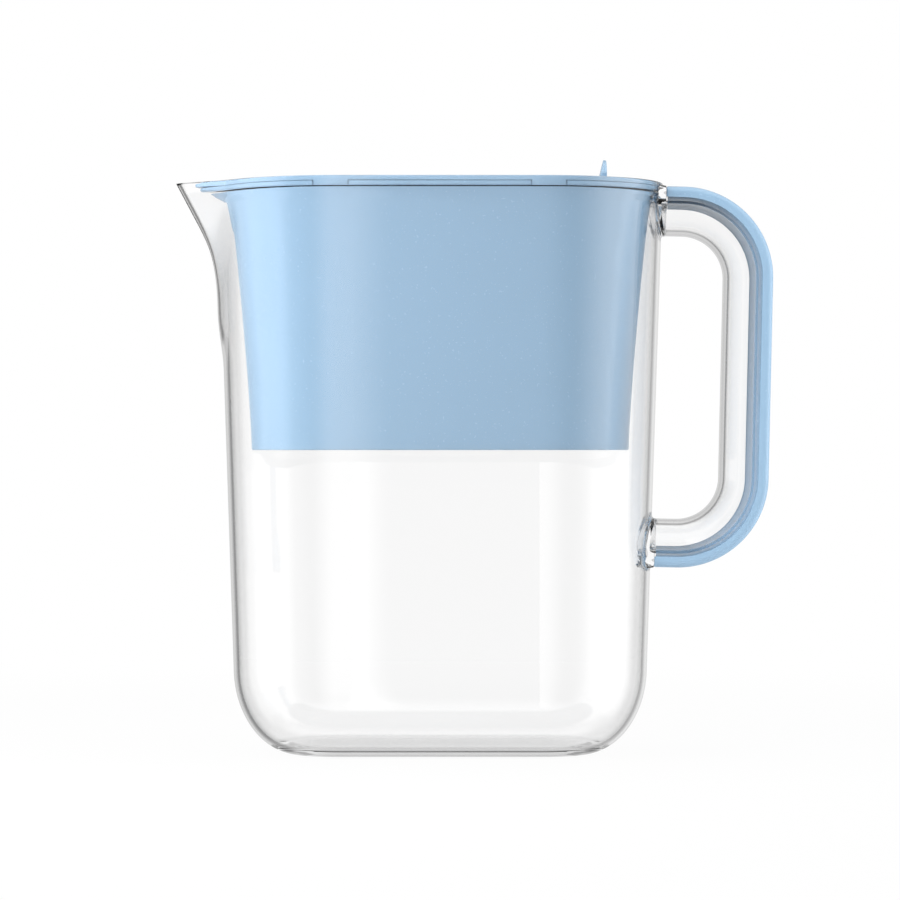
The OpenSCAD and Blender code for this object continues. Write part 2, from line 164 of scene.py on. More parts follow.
def inner_heel():
    """The heel set in by the wall, cut off by the thicker floor with a small round transition:
    the height is a smooth maximum of the two, (h + f + sqrt((h - f) ** 2 + blend)) / 2."""
    rows = heel(WALL)
    rows[:, 1] = (rows[:, 1] + FLOOR + np.sqrt((rows[:, 1] - FLOOR) ** 2 + FLOOR_BLEND)) / 2
    return rows


def wall_heights(low, high, steps):
    """Heights that stand closer together towards the top, where the spout is."""
    return low + (high - low) * (1 - (1 - np.linspace(0, 1, steps)) ** 1.6)


def arc_rows(r, z, radius, start, end, steps=6):
    """A rounded corner in the section, around the centre (r, z)."""
    a = np.radians(np.linspace(start, end, steps))
    return np.stack([r + radius * np.cos(a), z + radius * np.sin(a)], -1)


print("outer radius at the heel:", round(jug_r(HEEL), 2))

# %% [markdown]
# ## The section of the jug's wall
#
# The wall is one closed shell: up the outside, over the rounded rim, down the step and the bead
# inside, and back along the inner floor. Two shells would also look right at first, but light
# bends at each surface of clear plastic, so the wall needs both faces and a real thickness.


# %% Rows of the section, from the base's middle outside to the floor's middle inside
def outer_rows():
    """Radius and height of each row: flat base, heel, drafted wall, outer half of the rim."""
    base = np.stack([np.linspace(0, FOOT_R, 5)[:-1], np.zeros(4)], -1)
    z = wall_heights(HEEL, RIM_Z - EDGE, 70)[1:-1]
    rim = arc_rows(RIM_R - EDGE, RIM_Z - EDGE, EDGE, -2, 90)
    return np.concatenate([base, heel(0), np.stack([jug_r(z), z], -1), rim])


def inner_rows():
    """Inner half of the rim, the step with its small hollow corner and its round edge, the bead,
    the drafted wall, the heel and the floor."""
    lip_r = RIM_R - LIP
    seat_r = lip_r - SEAT_WIDTH
    rim = arc_rows(lip_r + EDGE, RIM_Z - EDGE, EDGE, 90, 180)
    corner = np.array([[lip_r, SEAT_Z + 0.25], [lip_r - 0.08, SEAT_Z + 0.08],
                       [lip_r - 0.25, SEAT_Z]])
    edge = arc_rows(seat_r + SEAT_EDGE, SEAT_Z - SEAT_EDGE, SEAT_EDGE, 90, 180, 9)
    step = np.concatenate([corner, edge, [[seat_r, SEAT_Z - BEAD / 2]]])
    z = wall_heights(HEEL, SEAT_Z - BEAD, 66)[::-1]
    wall = np.stack([jug_r(z) - WALL, z], -1)
    floor = np.stack([np.linspace(FOOT_R, 0, 5)[1:], np.full(4, FLOOR)], -1)
    return np.concatenate([rim, step, wall[:-1], inner_heel()[::-1], floor])


outside, inside = outer_rows(), inner_rows()
insets = np.concatenate([np.zeros(len(outside)), np.full(len(inside), WALL)])
print("rows outside:", len(outside), "rows inside:", len(inside))

# %% [markdown]
# ## The spout
#
# The spout is a wedge with a rounded nose that leans out of the wall and melts into it. Pulling
# vertices by hand would leave dents in the reflections. Here both shapes are distance fields: a
# smooth minimum of the two gives one field with a soft fillet, and each column's radius is found
# where that field is zero.

# %% Find the wall with the spout blended in
SPOUT_LEAN = math.radians(28)
SPOUT_TIP = 116.2     # distance of the tip from the middle, at the rim
BEND_R = 60.0         # bend of the ridge where it leaves the wall
NOSE = 11.0           # roundness of the nose
HALF_ANGLE = math.radians(30)
FILLET = 9.0
SPOUT_ROOT = 64.0     # the spout's wedge ends this far from the middle, inside the jug
SPOUT_REACH = 45.0    # the spout's tip lies less than this beyond the round end
SPOUT_LOW = 120.0     # below this height the wall is plain
RIDGE_BITE = 0.8      # the ridge starts this deep in the wall
SLIP_R = 40.0         # and slips back under its bend with this radius
HALVINGS = 40


def ridge(z):
    """Distance of the spout's ridge from the middle: straight at the lean, an arc below it, and
    under the arc it slips back into the wall."""
    top = SPOUT_TIP - (RIM_Z - z) * math.tan(SPOUT_LEAN)
    bend_z = RIDGE_Z + BEND_R * math.sin(SPOUT_LEAN)
    up = np.clip(z - RIDGE_Z, 0, BEND_R * math.sin(SPOUT_LEAN))
    arc = RIDGE_X + BEND_R - np.sqrt(BEND_R ** 2 - up ** 2)
    below = np.clip(RIDGE_Z - z, 0, None)
    return np.where(z > bend_z, top, arc) - 0.5 * below ** 2 / SLIP_R


RIDGE_RISE = ((SPOUT_TIP - SIDE - RIM_R + RIDGE_BITE - BEND_R * (1 - math.cos(SPOUT_LEAN))
               + BEND_R * math.sin(SPOUT_LEAN) * math.tan(SPOUT_LEAN))
              / (math.tan(SPOUT_LEAN) - DRAFT))
RIDGE_Z = RIM_Z - RIDGE_RISE
RIDGE_X = SIDE + jug_r(RIDGE_Z) - RIDGE_BITE


def wedge_distance(x, y, z):
    """Distance from a wedge with a rounded nose: (s - a) sin(h) + sqrt(y y + n n) cos(h), divided
    by its own slope, where s is the distance towards the spout and a the wedge's sharp tip. The
    wedge ends inside the jug, where s falls below its root."""
    sin, cos = math.sin(HALF_ANGLE), math.cos(HALF_ANGLE)
    tip = ridge(z) + NOSE * cos / sin
    soft = np.sqrt(y * y + NOSE * NOSE)
    slope = np.sqrt(sin * sin + (cos * y / soft) ** 2)
    return np.maximum(((-x - tip) * sin + soft * cos) / slope, SPOUT_ROOT + x)


def smooth_min(a, b, k):
    """Smooth minimum of two distances: they melt together where they differ by less than k."""
    h = np.clip(0.5 + 0.5 * (b - a) / k, 0, 1)
    return b + (a - b) * h - k * h * (1 - h)


def wall_points(rows, insets):
    """Solves each row and column for the radius at which the smooth minimum of body and spout is
    zero, by halving an interval again and again for the whole grid at once."""
    r, z = rows[:, :1], rows[:, 1:]
    spout_end = (origins[:, 0] < 0)[None, :]
    low = np.broadcast_to(r, (len(rows), len(origins))).copy()
    high = low + SPOUT_REACH
    for _ in range(HALVINGS):
        middle = (low + high) / 2
        x = origins[:, 0] + middle * directions[:, 0]
        y = middle * directions[:, 1]
        field = smooth_min(middle - r, wedge_distance(x, y, z) + insets[:, None], FILLET)
        low, high = np.where(field < 0, middle, low), np.where(field < 0, high, middle)
    near_spout = spout_end & (z > SPOUT_LOW)
    radius = np.where(near_spout, (low + high) / 2, np.broadcast_to(r, low.shape))
    xy = origins[None] + radius[..., None] * directions[None]
    return np.concatenate([xy, np.broadcast_to(z[..., None], radius.shape + (1,))], -1)


wall_rows = np.concatenate([outside, inside])
jug_points = wall_points(wall_rows, insets)
jug = piece_from("jug_shell", jug_points, grid_faces(*jug_points.shape[:2]), "jug", sharp=50)
print("spout tip at", np.round(jug_points[..., 0].min(), 2), "mm")

# %% [markdown]
# ## The handle's path
#
# The handle is a bar that leaves the wall near the rim, bends down, and comes back to the wall.
# Its section is rounded towards the fingers and widens to the strip on its back. A sweep modifier
# could carry a section along a curve, but here the section is placed by formula, so that its two
# ends can follow the round wall of the jug.

# %% Stations along the handle
HANDLE_LEAN = math.radians(1.3)
BEND_OUT = 39.5       # bend radius of the strip's outside
GRIP_T, BAR_T = 4.7, 16.3         # thickness of the strip and of the clear bar
SEAT_R = BEND_OUT - GRIP_T        # bend radius of the face between bar and strip
LEG = 87.2            # straight part between the two bends
REACH, DROP = 47.4, 2.1           # how far the handle stands out of the rim and lies below it
HANDLE_X = SIDE + RIM_R + REACH - BEND_OUT
HANDLE_Z = RIM_Z - DROP - BEND_OUT
BEND_STEPS, LEG_STEPS = 40, 22


def lean(u, w):
    """Turns the handle's own plane by its lean and puts it in place."""
    c, s = math.cos(HANDLE_LEAN), math.sin(HANDLE_LEAN)
    return np.stack([HANDLE_X + u * c + w * s, HANDLE_Z - u * s + w * c], -1)


def handle_stations():
    """Centre line on the seat face and its outward normal: a quarter circle, the leg, and another
    quarter circle. The runs into the wall are added by the sweep."""
    top = np.radians(np.linspace(90, 0, BEND_STEPS))
    leg = np.linspace(0, -LEG, LEG_STEPS + 2)[1:-1]
    low = np.radians(np.linspace(0, -90, BEND_STEPS))
    u = np.concatenate([SEAT_R * np.cos(top), np.full(LEG_STEPS, SEAT_R), SEAT_R * np.cos(low)])
    w = np.concatenate([SEAT_R * np.sin(top), leg, -LEG + SEAT_R * np.sin(low)])
    nu = np.concatenate([np.cos(top), np.ones(LEG_STEPS), np.cos(low)])
    nw = np.concatenate([np.sin(top), np.zeros(LEG_STEPS), np.sin(low)])
    return lean(u, w), lean(nu, nw) - lean(np.zeros(1), np.zeros(1))


def sweep(section, roots):
    """Carries a section (depth along the normal, width) along the stations. At both ends go the
    rings of roots, each with its own section, its distance from the wall, how much it swells, and
    whether it is flat. A round one follows the wall at its distance,
    x = side + sqrt((wall radius + distance) ** 2 - y ** 2), and a flat one stands on a plane in
    front of it."""
    centre, normal = handle_stations()
    rings = (np.concatenate([centre, np.zeros((len(centre), 1))], -1)[:, [0, 2, 1]][:, None]
             + section[None, :, :1] * normal[:, None, [0, 0, 1]] * np.array([1, 0, 1])
             + section[None, :, 1:] * np.array([0, 1, 0]))

    def root_rings(end, sign):
        out = []
        for shape, distance, swell, flat in roots:
            s = shape + swell * outward(section)
            z = centre[end, 1] + sign * s[:, 0]
            wall = jug_r(z)
            x = SIDE + (wall + distance if flat else np.sqrt((wall + distance) ** 2 - s[:, 1] ** 2))
            z = z + (centre[end, 0] - x) * math.tan(HANDLE_LEAN)
            out.append(np.stack([x, s[:, 1], z], -1))
        return np.array(out)

    return np.concatenate([root_rings(0, 1), rings, root_rings(-1, -1)[::-1]])


def outward(section):
    """Unit directions that point out of a closed section."""
    tangent = np.roll(section, -1, 0) - np.roll(section, 1, 0)
    out = np.stack([tangent[:, 1], -tangent[:, 0]], -1)
    out /= np.linalg.norm(out, axis=1, keepdims=True)
    return out if np.sum(out * (section - section.mean(0))) > 0 else -out


def fillet(distance, radius=1.6):
    """How far a root swells at a distance from the wall: f - sqrt(f * f - (f - d) ** 2)."""
    rest = max(radius - max(distance, 0), 0)
    return radius - math.sqrt(radius ** 2 - rest ** 2)


def capped(rings):
    """Faces of a closed tube, with a fan of triangles at both ends around the ring's middle."""
    rows, cols = rings.shape[:2]
    points = np.concatenate([rings.reshape(-1, 3), rings[:1].mean(1), rings[-1:].mean(1)])
    j = np.arange(cols)
    first = np.stack([j, (j + 1) % cols, np.full(cols, rows * cols)], -1)
    last = np.stack([j + (rows - 1) * cols, (j + 1) % cols + (rows - 1) * cols,
                     np.full(cols, rows * cols + 1)], -1)
    return points, [*grid_faces(rows, cols).tolist(), *first.tolist(), *last.tolist()]


print("stations:", len(handle_stations()[0]))

# %% [markdown]
# ## The clear bar, joined to the jug
#
# Jug and bar are one moulding. A solid bar this thick would sink as it cools, so it is hollow. That
# is why it looks white in its middle and grey at its edge. The hollow is shaped like an egg and
# leaves a thin back under the strip, which bends the strip's colour into the bluish zone beside
# it. If the bar only stood inside the wall, light would meet hidden faces between the two, so the
# shells are united by a boolean into one closed surface.

# %% The bar's section, its channel, and their union with the jug
BAR_HALF, BAR_WALL = 17.0, 2.0    # half the bar's width, and its wall towards the fingers
GRIP_CORNER = 3.0                 # rounding of the strip's outer corners
COLLAR = 0.8                      # height of the collars that the strip ends against
BACK_WALL, BACK_RISE = 0.6, 2.2   # the wall under the strip, and the egg's flat side
CHANNEL_HALF = 14.6


def half_ellipse(steps=41):
    """From one edge around the side towards the fingers to the other edge."""
    a = np.linspace(np.pi / 2, 3 * np.pi / 2, steps)
    return np.stack([BAR_T * np.cos(a), BAR_HALF * np.sin(a)], -1)


def corner_arc(x, y, radius, start, end, steps=8):
    """Points on a circle around (x, y), from one angle to another in degrees."""
    a = np.radians(np.linspace(start, end, steps))
    return np.stack([x + radius * np.cos(a), y + radius * np.sin(a)], -1)


def bar_section(with_grip=False):
    """A half ellipse towards the fingers and a flat back, or the grip's outline instead of the
    back, with the same number of points."""
    corner = np.array([0, -BAR_HALF])
    depth, half = GRIP_T - GRIP_CORNER, BAR_HALF - GRIP_CORNER
    if with_grip:
        half_back = np.concatenate([[corner + [depth / 3, 0], corner + [depth * 2 / 3, 0]],
                                    corner_arc(depth, -half, GRIP_CORNER, -90, 0),
                                    [[GRIP_T, -half * 0.7], [GRIP_T, -half * 0.35]]])
        middle = [[GRIP_T, 0]]
    else:
        half_back = np.stack([np.zeros(12), -BAR_HALF * np.linspace(0.98, 0.08, 12)], -1)
        middle = [[0, 0]]
    return np.concatenate([half_ellipse(), half_back, middle, (half_back * [1, -1])[::-1]])


def channel_section(steps=33):
    """An egg: two half ellipses that share their width, the long one towards the fingers and the
    flat one towards the strip."""
    middle = -(BACK_WALL + BACK_RISE)
    a = np.linspace(0, 2 * np.pi, 2 * steps, endpoint=False)
    depth = np.where(np.cos(a) > 0, BACK_RISE, BAR_T - BAR_WALL + middle)
    return np.stack([middle + depth * np.cos(a), CHANNEL_HALF * np.sin(a)], -1)


# %% Both ends of the bar and of its channel
CORE_START, CORE_END = 0.2, 0.5   # where the channel starts off the wall, and how round its end is
COLLAR_EDGE = 0.15                # rounding of the collar
plain, full, core = bar_section(), bar_section(True), channel_section()
core_middle = core.mean(0)
bar_roots = ([(full, d, fillet(d), False) for d in (-1.3, -0.4, 0.0, 0.12, 0.3)]
             + [(full, COLLAR - COLLAR_EDGE, fillet(COLLAR), True),
                (full, COLLAR, fillet(COLLAR) - 0.12, True)]
             + [(plain, d, fillet(d), True) for d in (COLLAR, 1.1, 1.6, 3.0)])
core_roots = [(core_middle + math.sin(k) * (core - core_middle),
               CORE_START + CORE_END * (1 - math.cos(k)), 0, False)
              for k in (0.02, 0.3, 0.6, 0.9, 1.2, 1.4, 1.57)] + [(core, 3.0, 0, True)]
bar = piece_from("handle_bar", *capped(sweep(plain, bar_roots)), "jug", sharp=50)
channel = piece_from("handle_channel", *capped(sweep(core, core_roots)), "jug", sharp=50)


# %% Unite jug and bar, and cut the channel
def bake_modifiers(piece):
    """Puts the result of a piece's modifiers into its mesh."""
    view = bpy.context.evaluated_depsgraph_get()
    done = bpy.data.meshes.new_from_object(piece.evaluated_get(view))
    piece.modifiers.clear()
    piece.data = done


def combine(piece, other, operation):
    """Unites another closed piece with this one, or cuts it away, and removes it."""
    join = piece.modifiers.new("join", "BOOLEAN")
    join.operation, join.solver, join.object = operation, "EXACT", other
    bake_modifiers(piece)
    bpy.data.objects.remove(other)


combine(jug, bar, "UNION")
combine(jug, channel, "DIFFERENCE")
jug.data.shade_smooth()
jug.data.set_sharp_from_angle(angle=math.radians(32))
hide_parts("pitcher_body", "handle_bar")
print("jug with handle, triangles:", sum(len(p.vertices) - 2 for p in jug.data.polygons))

# %% [markdown]
# ## The strip on the handle's back
#
# A coloured strip is moulded onto the clear bar as a second shot. It has the same width and
# rounded outer corners, and ends against the two clear collars. It bites a hair into the bar, so
# that its colour is seen through the bar without a film of air between.


# %% The strip
BITE = 0.03           # how deep the strip reaches into the bar


def grip_section(inset):
    """The grip's outline: short straight sides, round corners and a flat back."""
    depth, half = GRIP_T - GRIP_CORNER, BAR_HALF - GRIP_CORNER
    bite, radius = -BITE + inset, GRIP_CORNER - inset
    corner = corner_arc(depth, -half, radius, -90, 0, 9)
    back = np.stack([np.full(11, GRIP_T - inset), np.linspace(-half, half, 13)[1:-1]], -1)
    seat = np.stack([np.full(11, bite), np.linspace(half, -half, 13)[1:-1]], -1)
    flank = np.array([[bite, -half - radius], [depth * 0.6, -half - radius]])
    return np.concatenate([flank, corner, back, (corner * [1, -1])[::-1],
                           (flank * [1, -1])[::-1], seat])


strip = grip_section(0)
strip_roots = [(grip_section(0.35), COLLAR + GAP, 0, True),
               (grip_section(0.1), COLLAR + GAP + 0.1, 0, True),
               (strip, COLLAR + GAP + 0.35, 0, True), (strip, 3.0, 0, True)]
grip = piece_from("grip_strip", *capped(sweep(strip, strip_roots)), "jug", sharp=40)
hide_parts("handle_grip")

# %% [markdown]
# ## The reservoir
#
# The reservoir is a tapered tub of satin plastic with a flange at its rim. It hangs in the jug and
# is the largest coloured surface, so its wall is one smooth curve. Its water floor runs from the
# plan's shape to a round well for the cartridge.

# %% Sizes of the reservoir
RES_Z, RES_FOOT_R, RES_T = 133.5, 38.9, 2.0      # lower edge: height and radius; the wall
FLANGE_Z, FLANGE_T = 246.5, 1.95
RES_TOP_R = RIM_R - LIP - SEAT_WIDTH - GAP
PLATE_R = RIM_R - LIP - GAP       # edge of flange and lid
FLARE = 1.4                       # how far the wall turns out under the flange
FLOOR_Z, FLOOR_RISE = 176.5, 4.0  # the water floor at the well, and its rise towards the wall
WELL_R, WELL_Z = 27.2, RES_Z + RES_T
OUTLET_R = 5                      # hole in the well's bottom
EDGE_R = 0.35                     # rounding of the flange


def res_r(z):
    """Outer radius: foot + gain * u ** 1.3 + flare * u ** 16, where u runs from 0 at the lower
    edge to 1 at the flange."""
    u = np.clip((z - RES_Z) / (FLANGE_Z - RES_Z), 0, 1)
    return RES_FOOT_R + (RES_TOP_R - FLARE - RES_FOOT_R) * u ** 1.3 + FLARE * u ** 16


def well_ring(radius, z):
    """A ring of the well, whose points stand at the angles of the plan's own columns, so that the
    floor's lines run straight from well to wall."""
    edge = origins + res_r(np.array(FLOOR_Z)) * directions
    angle = np.arctan2(edge[:, 1], edge[:, 0])
    return np.stack([radius * np.cos(angle), radius * np.sin(angle), np.full(len(angle), z)], -1)


def plan_ring(radius, z):
    """A ring of the plan, grown to a radius, at one height."""
    xy = origins + radius * directions
    return np.concatenate([xy, np.full((len(xy), 1), z)], -1)


def between(a, b, steps):
    """Rings on the straight way from one ring to another, without the two ends."""
    t = np.linspace(0, 1, steps + 2)[1:-1, None, None]
    return a[None] * (1 - t) + b[None] * t


print("reservoir's radius below and above:", RES_FOOT_R, np.round(res_r(FLANGE_Z), 2))


# %% Rings of the reservoir, from the lower edge up, over the flange, in, and back under the floor
def wall_rings():
    """The outside of the wall, over the flange, and down the inside to the water floor."""
    top = FLANGE_Z + FLANGE_T
    rings = [plan_ring(RES_FOOT_R - 0.6, RES_Z), plan_ring(RES_FOOT_R - 0.15, RES_Z + 0.15)]
    rings += [plan_ring(res_r(z), z) for z in wall_heights(RES_Z + 0.6, FLANGE_Z - 0.3, 60)]
    flange = [(RES_TOP_R + 0.1, FLANGE_Z - 0.05), (RES_TOP_R + 0.4, FLANGE_Z),
              (PLATE_R - EDGE_R, FLANGE_Z), (PLATE_R - 0.1, FLANGE_Z + 0.1),
              (PLATE_R, FLANGE_Z + EDGE_R), (PLATE_R, top - EDGE_R), (PLATE_R - 0.1, top - 0.1),
              (PLATE_R - EDGE_R, top), (RES_TOP_R - RES_T + EDGE_R, top),
              (RES_TOP_R - RES_T, top - EDGE_R)]
    rings += [plan_ring(r, z) for r, z in flange]
    inside_z = wall_heights(FLOOR_Z + FLOOR_RISE, FLANGE_Z, 30)[::-1]
    return rings + [plan_ring(res_r(z) - RES_T, z) for z in inside_z]


def well_rings(wall_in):
    """Over the water floor, down the well, through its outlet, and up the well's outside."""
    lip = well_ring(WELL_R + 1, FLOOR_Z + 1)
    rings = list(between(wall_in, lip, 12)) + [lip, well_ring(WELL_R, FLOOR_Z + 0.6)]
    rings += [well_ring(WELL_R, z) for z in np.linspace(FLOOR_Z - 4, WELL_Z + RES_T, 8)]
    rings += [well_ring(r, WELL_Z + RES_T) for r in (20, 10, OUTLET_R)]
    rings += [well_ring(r, WELL_Z) for r in (OUTLET_R, 10, 20)]
    return rings + [well_ring(WELL_R + RES_T, z)
                    for z in np.linspace(WELL_Z, FLOOR_Z - RES_T - 4, 8)]


def skirt_rings():
    """Under the water floor, and down the inside of the skirt to the lower edge."""
    under_z = FLOOR_Z + FLOOR_RISE - RES_T
    under_lip = well_ring(WELL_R + RES_T, FLOOR_Z - RES_T)
    under_wall = plan_ring(res_r(under_z) - RES_T, under_z)
    rings = [under_lip] + list(between(under_lip, under_wall, 12)) + [under_wall]
    rings += [plan_ring(res_r(z) - RES_T, z) for z in np.linspace(under_z - 2, RES_Z + 0.4, 10)]
    return rings + [plan_ring(RES_FOOT_R - RES_T + 0.3, RES_Z)]


res_rings = wall_rings()
res_points = np.array(res_rings + well_rings(res_rings[-1]) + skirt_rings())
tub = piece_from("reservoir_tub", res_points, grid_faces(*res_points.shape[:2], close_rows=True),
                 "reservoir", sharp=40)

# %% [markdown]
# ## The beak and the notches
#
# Over the spout the flange runs out into a beak, so that nothing drips past the reservoir. Its
# underside is a hollow curve that grows out of the wall. Four notches in the flange take the
# lid's tabs. Both are cut from or added to the tub as closed pieces, as a tool's inserts do.

# %% The beak's form
SPOUT_NOSE_R, SPOUT_V = 8.8, math.radians(39.5)  # the spout's nose and half angle, square to it
BEAK_A = math.atan(math.tan(SPOUT_V) * math.cos(SPOUT_LEAN))
BEAK_TIP, BEAK_ROOT = 104.8, 84.0
BEAK_Z, BEAK_START = 241.5, 92    # the lowest ring: height, and distance of its tip
BEAK_RISE = 5.9


def beak_ring(z, tip):
    """The beak's plan at one height: an arc at the tip, and flanks that stay clear of the spout.
    The arc's radius follows from the flanks' meeting point: (apex - tip) / (1 / sin(a) - 1)."""
    side_r = SPOUT_NOSE_R - WALL - GAP
    apex = (SPOUT_TIP - (RIM_Z - z) * math.tan(SPOUT_LEAN)
            - (SPOUT_NOSE_R - side_r / math.sin(SPOUT_V)) / math.cos(SPOUT_LEAN))
    r = (apex - tip) / (1 / math.sin(BEAK_A) - 1)
    arc = corner_arc(-tip + r, 0, r, 90 + math.degrees(BEAK_A), 270 - math.degrees(BEAK_A), 33)
    flank = arc[-1] + np.linspace(0, 1, 9)[1:, None] * (
        np.array([-BEAK_ROOT, -(apex - BEAK_ROOT) * math.tan(BEAK_A)]) - arc[-1])
    ring = np.concatenate([(flank * [1, -1])[::-1], arc, flank])
    return np.concatenate([ring, np.full((len(ring), 1), z)], -1)


def beak_rings():
    """From the hollow underside to the flat top. The tip's distance is start + gain * s ** 2.4,
    where s runs from 0 at the lowest ring to 1 under the edge."""
    s = np.linspace(0, 1, 14)
    tips = BEAK_START + (BEAK_TIP - 0.5 - BEAK_START) * s ** 2.4
    low = [beak_ring(z, tip) for z, tip in zip(BEAK_Z + BEAK_RISE * s, tips)]
    top = FLANGE_Z + FLANGE_T
    return np.array(low + [beak_ring(top - 0.6, BEAK_TIP - 0.1), beak_ring(top - 0.35, BEAK_TIP),
                           beak_ring(top - 0.1, BEAK_TIP - 0.1), beak_ring(top, BEAK_TIP - 0.35)])


# %% Add the beak, cut the notches
TAB_X, TAB_W, TAB_T = 46.5, 14.5, 1.3            # place, width and thickness of the lid's tabs


def band_prism(x0, x1, inner, outer, z0, z1, sign):
    """A block between two sizes of the plan: y = sqrt(r * r - max(|x| - side, 0) ** 2)."""
    x = np.linspace(x0, x1, 9)
    far = np.clip(np.abs(x) - SIDE, 0, None)
    y0, y1 = np.sqrt(inner ** 2 - far ** 2), np.full(9, outer)
    corners = [(y0, z0), (y1, z0), (y1, z1), (y0, z1)]
    return np.stack([np.stack([x, sign * y, np.full(9, z)], -1) for y, z in corners], 1)


beak = piece_from("reservoir_beak", *capped(beak_rings()), "reservoir")
combine(tub, beak, "UNION")
for sx in (-1, 1):
    for sy in (-1, 1):
        notch = band_prism(sx * TAB_X - TAB_W / 2 - GAP, sx * TAB_X + TAB_W / 2 + GAP,
                           PLATE_R - TAB_T - GAP, RIM_R + 2,
                           FLANGE_Z - 1, FLANGE_Z + FLANGE_T + 1, sy)
        combine(tub, piece_from("notch", *capped(notch), "reservoir"), "DIFFERENCE")
tub.data.shade_smooth()
tub.data.set_sharp_from_angle(angle=math.radians(40))
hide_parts("reservoir", "filter_well")

# %% [markdown]
# ## Pieces that keep their CAD shape
#
# Lid, door and cartridge are right as they are. Moulded edges are never knife sharp, though, so a
# copy of the lid and of the door is merged into one skin and gets a narrow bevel that catches the
# light.


# %% Round the edges of CAD pieces
def rounded_copy(node, body, width, sharp=30):
    """A merged copy of a CAD node with its edges bevelled by the given width in millimetres."""
    source = nodes[node]
    mesh = source.data.copy()
    bm = bmesh.new()
    bm.from_mesh(mesh)
    bmesh.ops.remove_doubles(bm, verts=bm.verts, dist=1e-6)
    bmesh.ops.dissolve_limit(bm, angle_limit=math.radians(1), verts=bm.verts, edges=bm.edges)
    bm.to_mesh(mesh)
    bm.free()
    mesh.materials.clear()
    piece = bpy.data.objects.new(node + "_moulded", mesh)
    bpy.context.scene.collection.objects.link(piece)
    bevel = piece.modifiers.new("edge", "BEVEL")
    bevel.width, bevel.segments, bevel.limit_method = width * MM, 2, "ANGLE"
    bevel.angle_limit = math.radians(sharp)
    bake_modifiers(piece)
    piece.data.shade_smooth()
    piece.data.set_sharp_from_angle(angle=math.radians(sharp))
    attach(piece, body)
    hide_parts(node)
    print(piece.name, "faces:", len(piece.data.polygons))
    return piece


MOULD_EDGE = 0.2      # rounding that a moulded edge has
lid = rounded_copy("lid", "lid", MOULD_EDGE)
door = rounded_copy("flip_lid", "flip_lid", MOULD_EDGE)

# %% [markdown]
# ## Finishes
#
# Clear plastic is a refracting solid, and what makes it look real is its thickness and what stands
# around it. The coloured plastic is satin, with a very fine moulded grain. The same finish serves
# the reservoir, the lid, the door and the strip, as they are moulded from one batch.

# %% Tools for finishes
PLASTIC_IOR = 1.49


def new_material(name):
    """A material, its node tree and its main shader."""
    material = bpy.data.materials.new(name)
    material.use_nodes = True
    tree = material.node_tree
    return material, tree, tree.nodes["Principled BSDF"]


def srgb(r, g, b):
    """Screen colours from 0 to 255 as the linear values that a shader takes."""
    c = np.array([r, g, b]) / 255
    return (*np.where(c <= 0.04045, c / 12.92, ((c + 0.055) / 1.055) ** 2.4), 1.0)


def wandering_roughness(tree, shader, scale, low, high):
    """Noise on Object coordinates lets roughness wander between two values. Gives the place and
    the noise, for other uses."""
    add, link = tree.nodes.new, tree.links.new
    place, noise, span = (add("ShaderNodeTexCoord"), add("ShaderNodeTexNoise"),
                          add("ShaderNodeMapRange"))
    noise.inputs["Scale"].default_value = scale
    noise.inputs["Detail"].default_value = 3
    span.inputs["To Min"].default_value, span.inputs["To Max"].default_value = low, high
    link(place.outputs["Object"], noise.inputs["Vector"])
    link(noise.outputs["Fac"], span.inputs["Value"])
    link(span.outputs["Result"], shader.inputs["Roughness"])
    return place.outputs["Object"], noise.outputs["Fac"]


# %% Plastic finishes
GRAIN_SCALE, GRAIN_DEPTH = 900, 0.00002          # per metre, and in metres
CLOUD_SCALE, CLOUD_SHARE = 18, 0.015             # the colour's slow change


def coloured_plastic(name, colour, low=0.22, high=0.3, gloss=1.0):
    """Satin moulded plastic: its colour wanders by a per cent, as pigment does. A gloss of 0.5 is
    what bare plastic of this index mirrors, and a polished mould gives more."""
    material, tree, shader = new_material(name)
    add, link = tree.nodes.new, tree.links.new
    shader.inputs["IOR"].default_value = PLASTIC_IOR
    shader.inputs["Specular IOR Level"].default_value = gloss
    place, noise = wandering_roughness(tree, shader, GRAIN_SCALE, low, high)
    bump, cloud, mix = add("ShaderNodeBump"), add("ShaderNodeTexNoise"), add("ShaderNodeMix")
    bump.inputs["Strength"].default_value = 0.2
    bump.inputs["Distance"].default_value = GRAIN_DEPTH
    link(noise, bump.inputs["Height"])
    link(bump.outputs["Normal"], shader.inputs["Normal"])
    cloud.inputs["Scale"].default_value = CLOUD_SCALE
    mix.data_type = "RGBA"
    mix.inputs["A"].default_value = (*[c * (1 - CLOUD_SHARE) for c in colour[:3]], 1)
    mix.inputs["B"].default_value = (*[min(c * (1 + CLOUD_SHARE), 1) for c in colour[:3]], 1)
    link(place, cloud.inputs["Vector"])
    link(cloud.outputs["Fac"], mix.inputs["Factor"])
    link(mix.outputs["Result"], shader.inputs["Base Color"])
    return material


def clear_plastic(name):
    """Clear plastic that lets the lamps' light through to what is inside it."""
    material, tree, shader = new_material(name)
    add, link = tree.nodes.new, tree.links.new
    shader.inputs["Base Color"].default_value = (1, 1, 1, 1)
    shader.inputs["Transmission Weight"].default_value = 1.0
    shader.inputs["IOR"].default_value = PLASTIC_IOR
    wandering_roughness(tree, shader, 60, 0.0, 0.012)
    light, see_through, mix = (add("ShaderNodeLightPath"), add("ShaderNodeBsdfTransparent"),
                               add("ShaderNodeMixShader"))
    see_through.inputs["Color"].default_value = (0.96, 0.965, 0.97, 1)
    link(light.outputs["Is Shadow Ray"], mix.inputs["Fac"])
    link(shader.outputs["BSDF"], mix.inputs[1])
    link(see_through.outputs["BSDF"], mix.inputs[2])
    link(mix.outputs["Shader"], tree.nodes["Material Output"].inputs["Surface"])
    return material


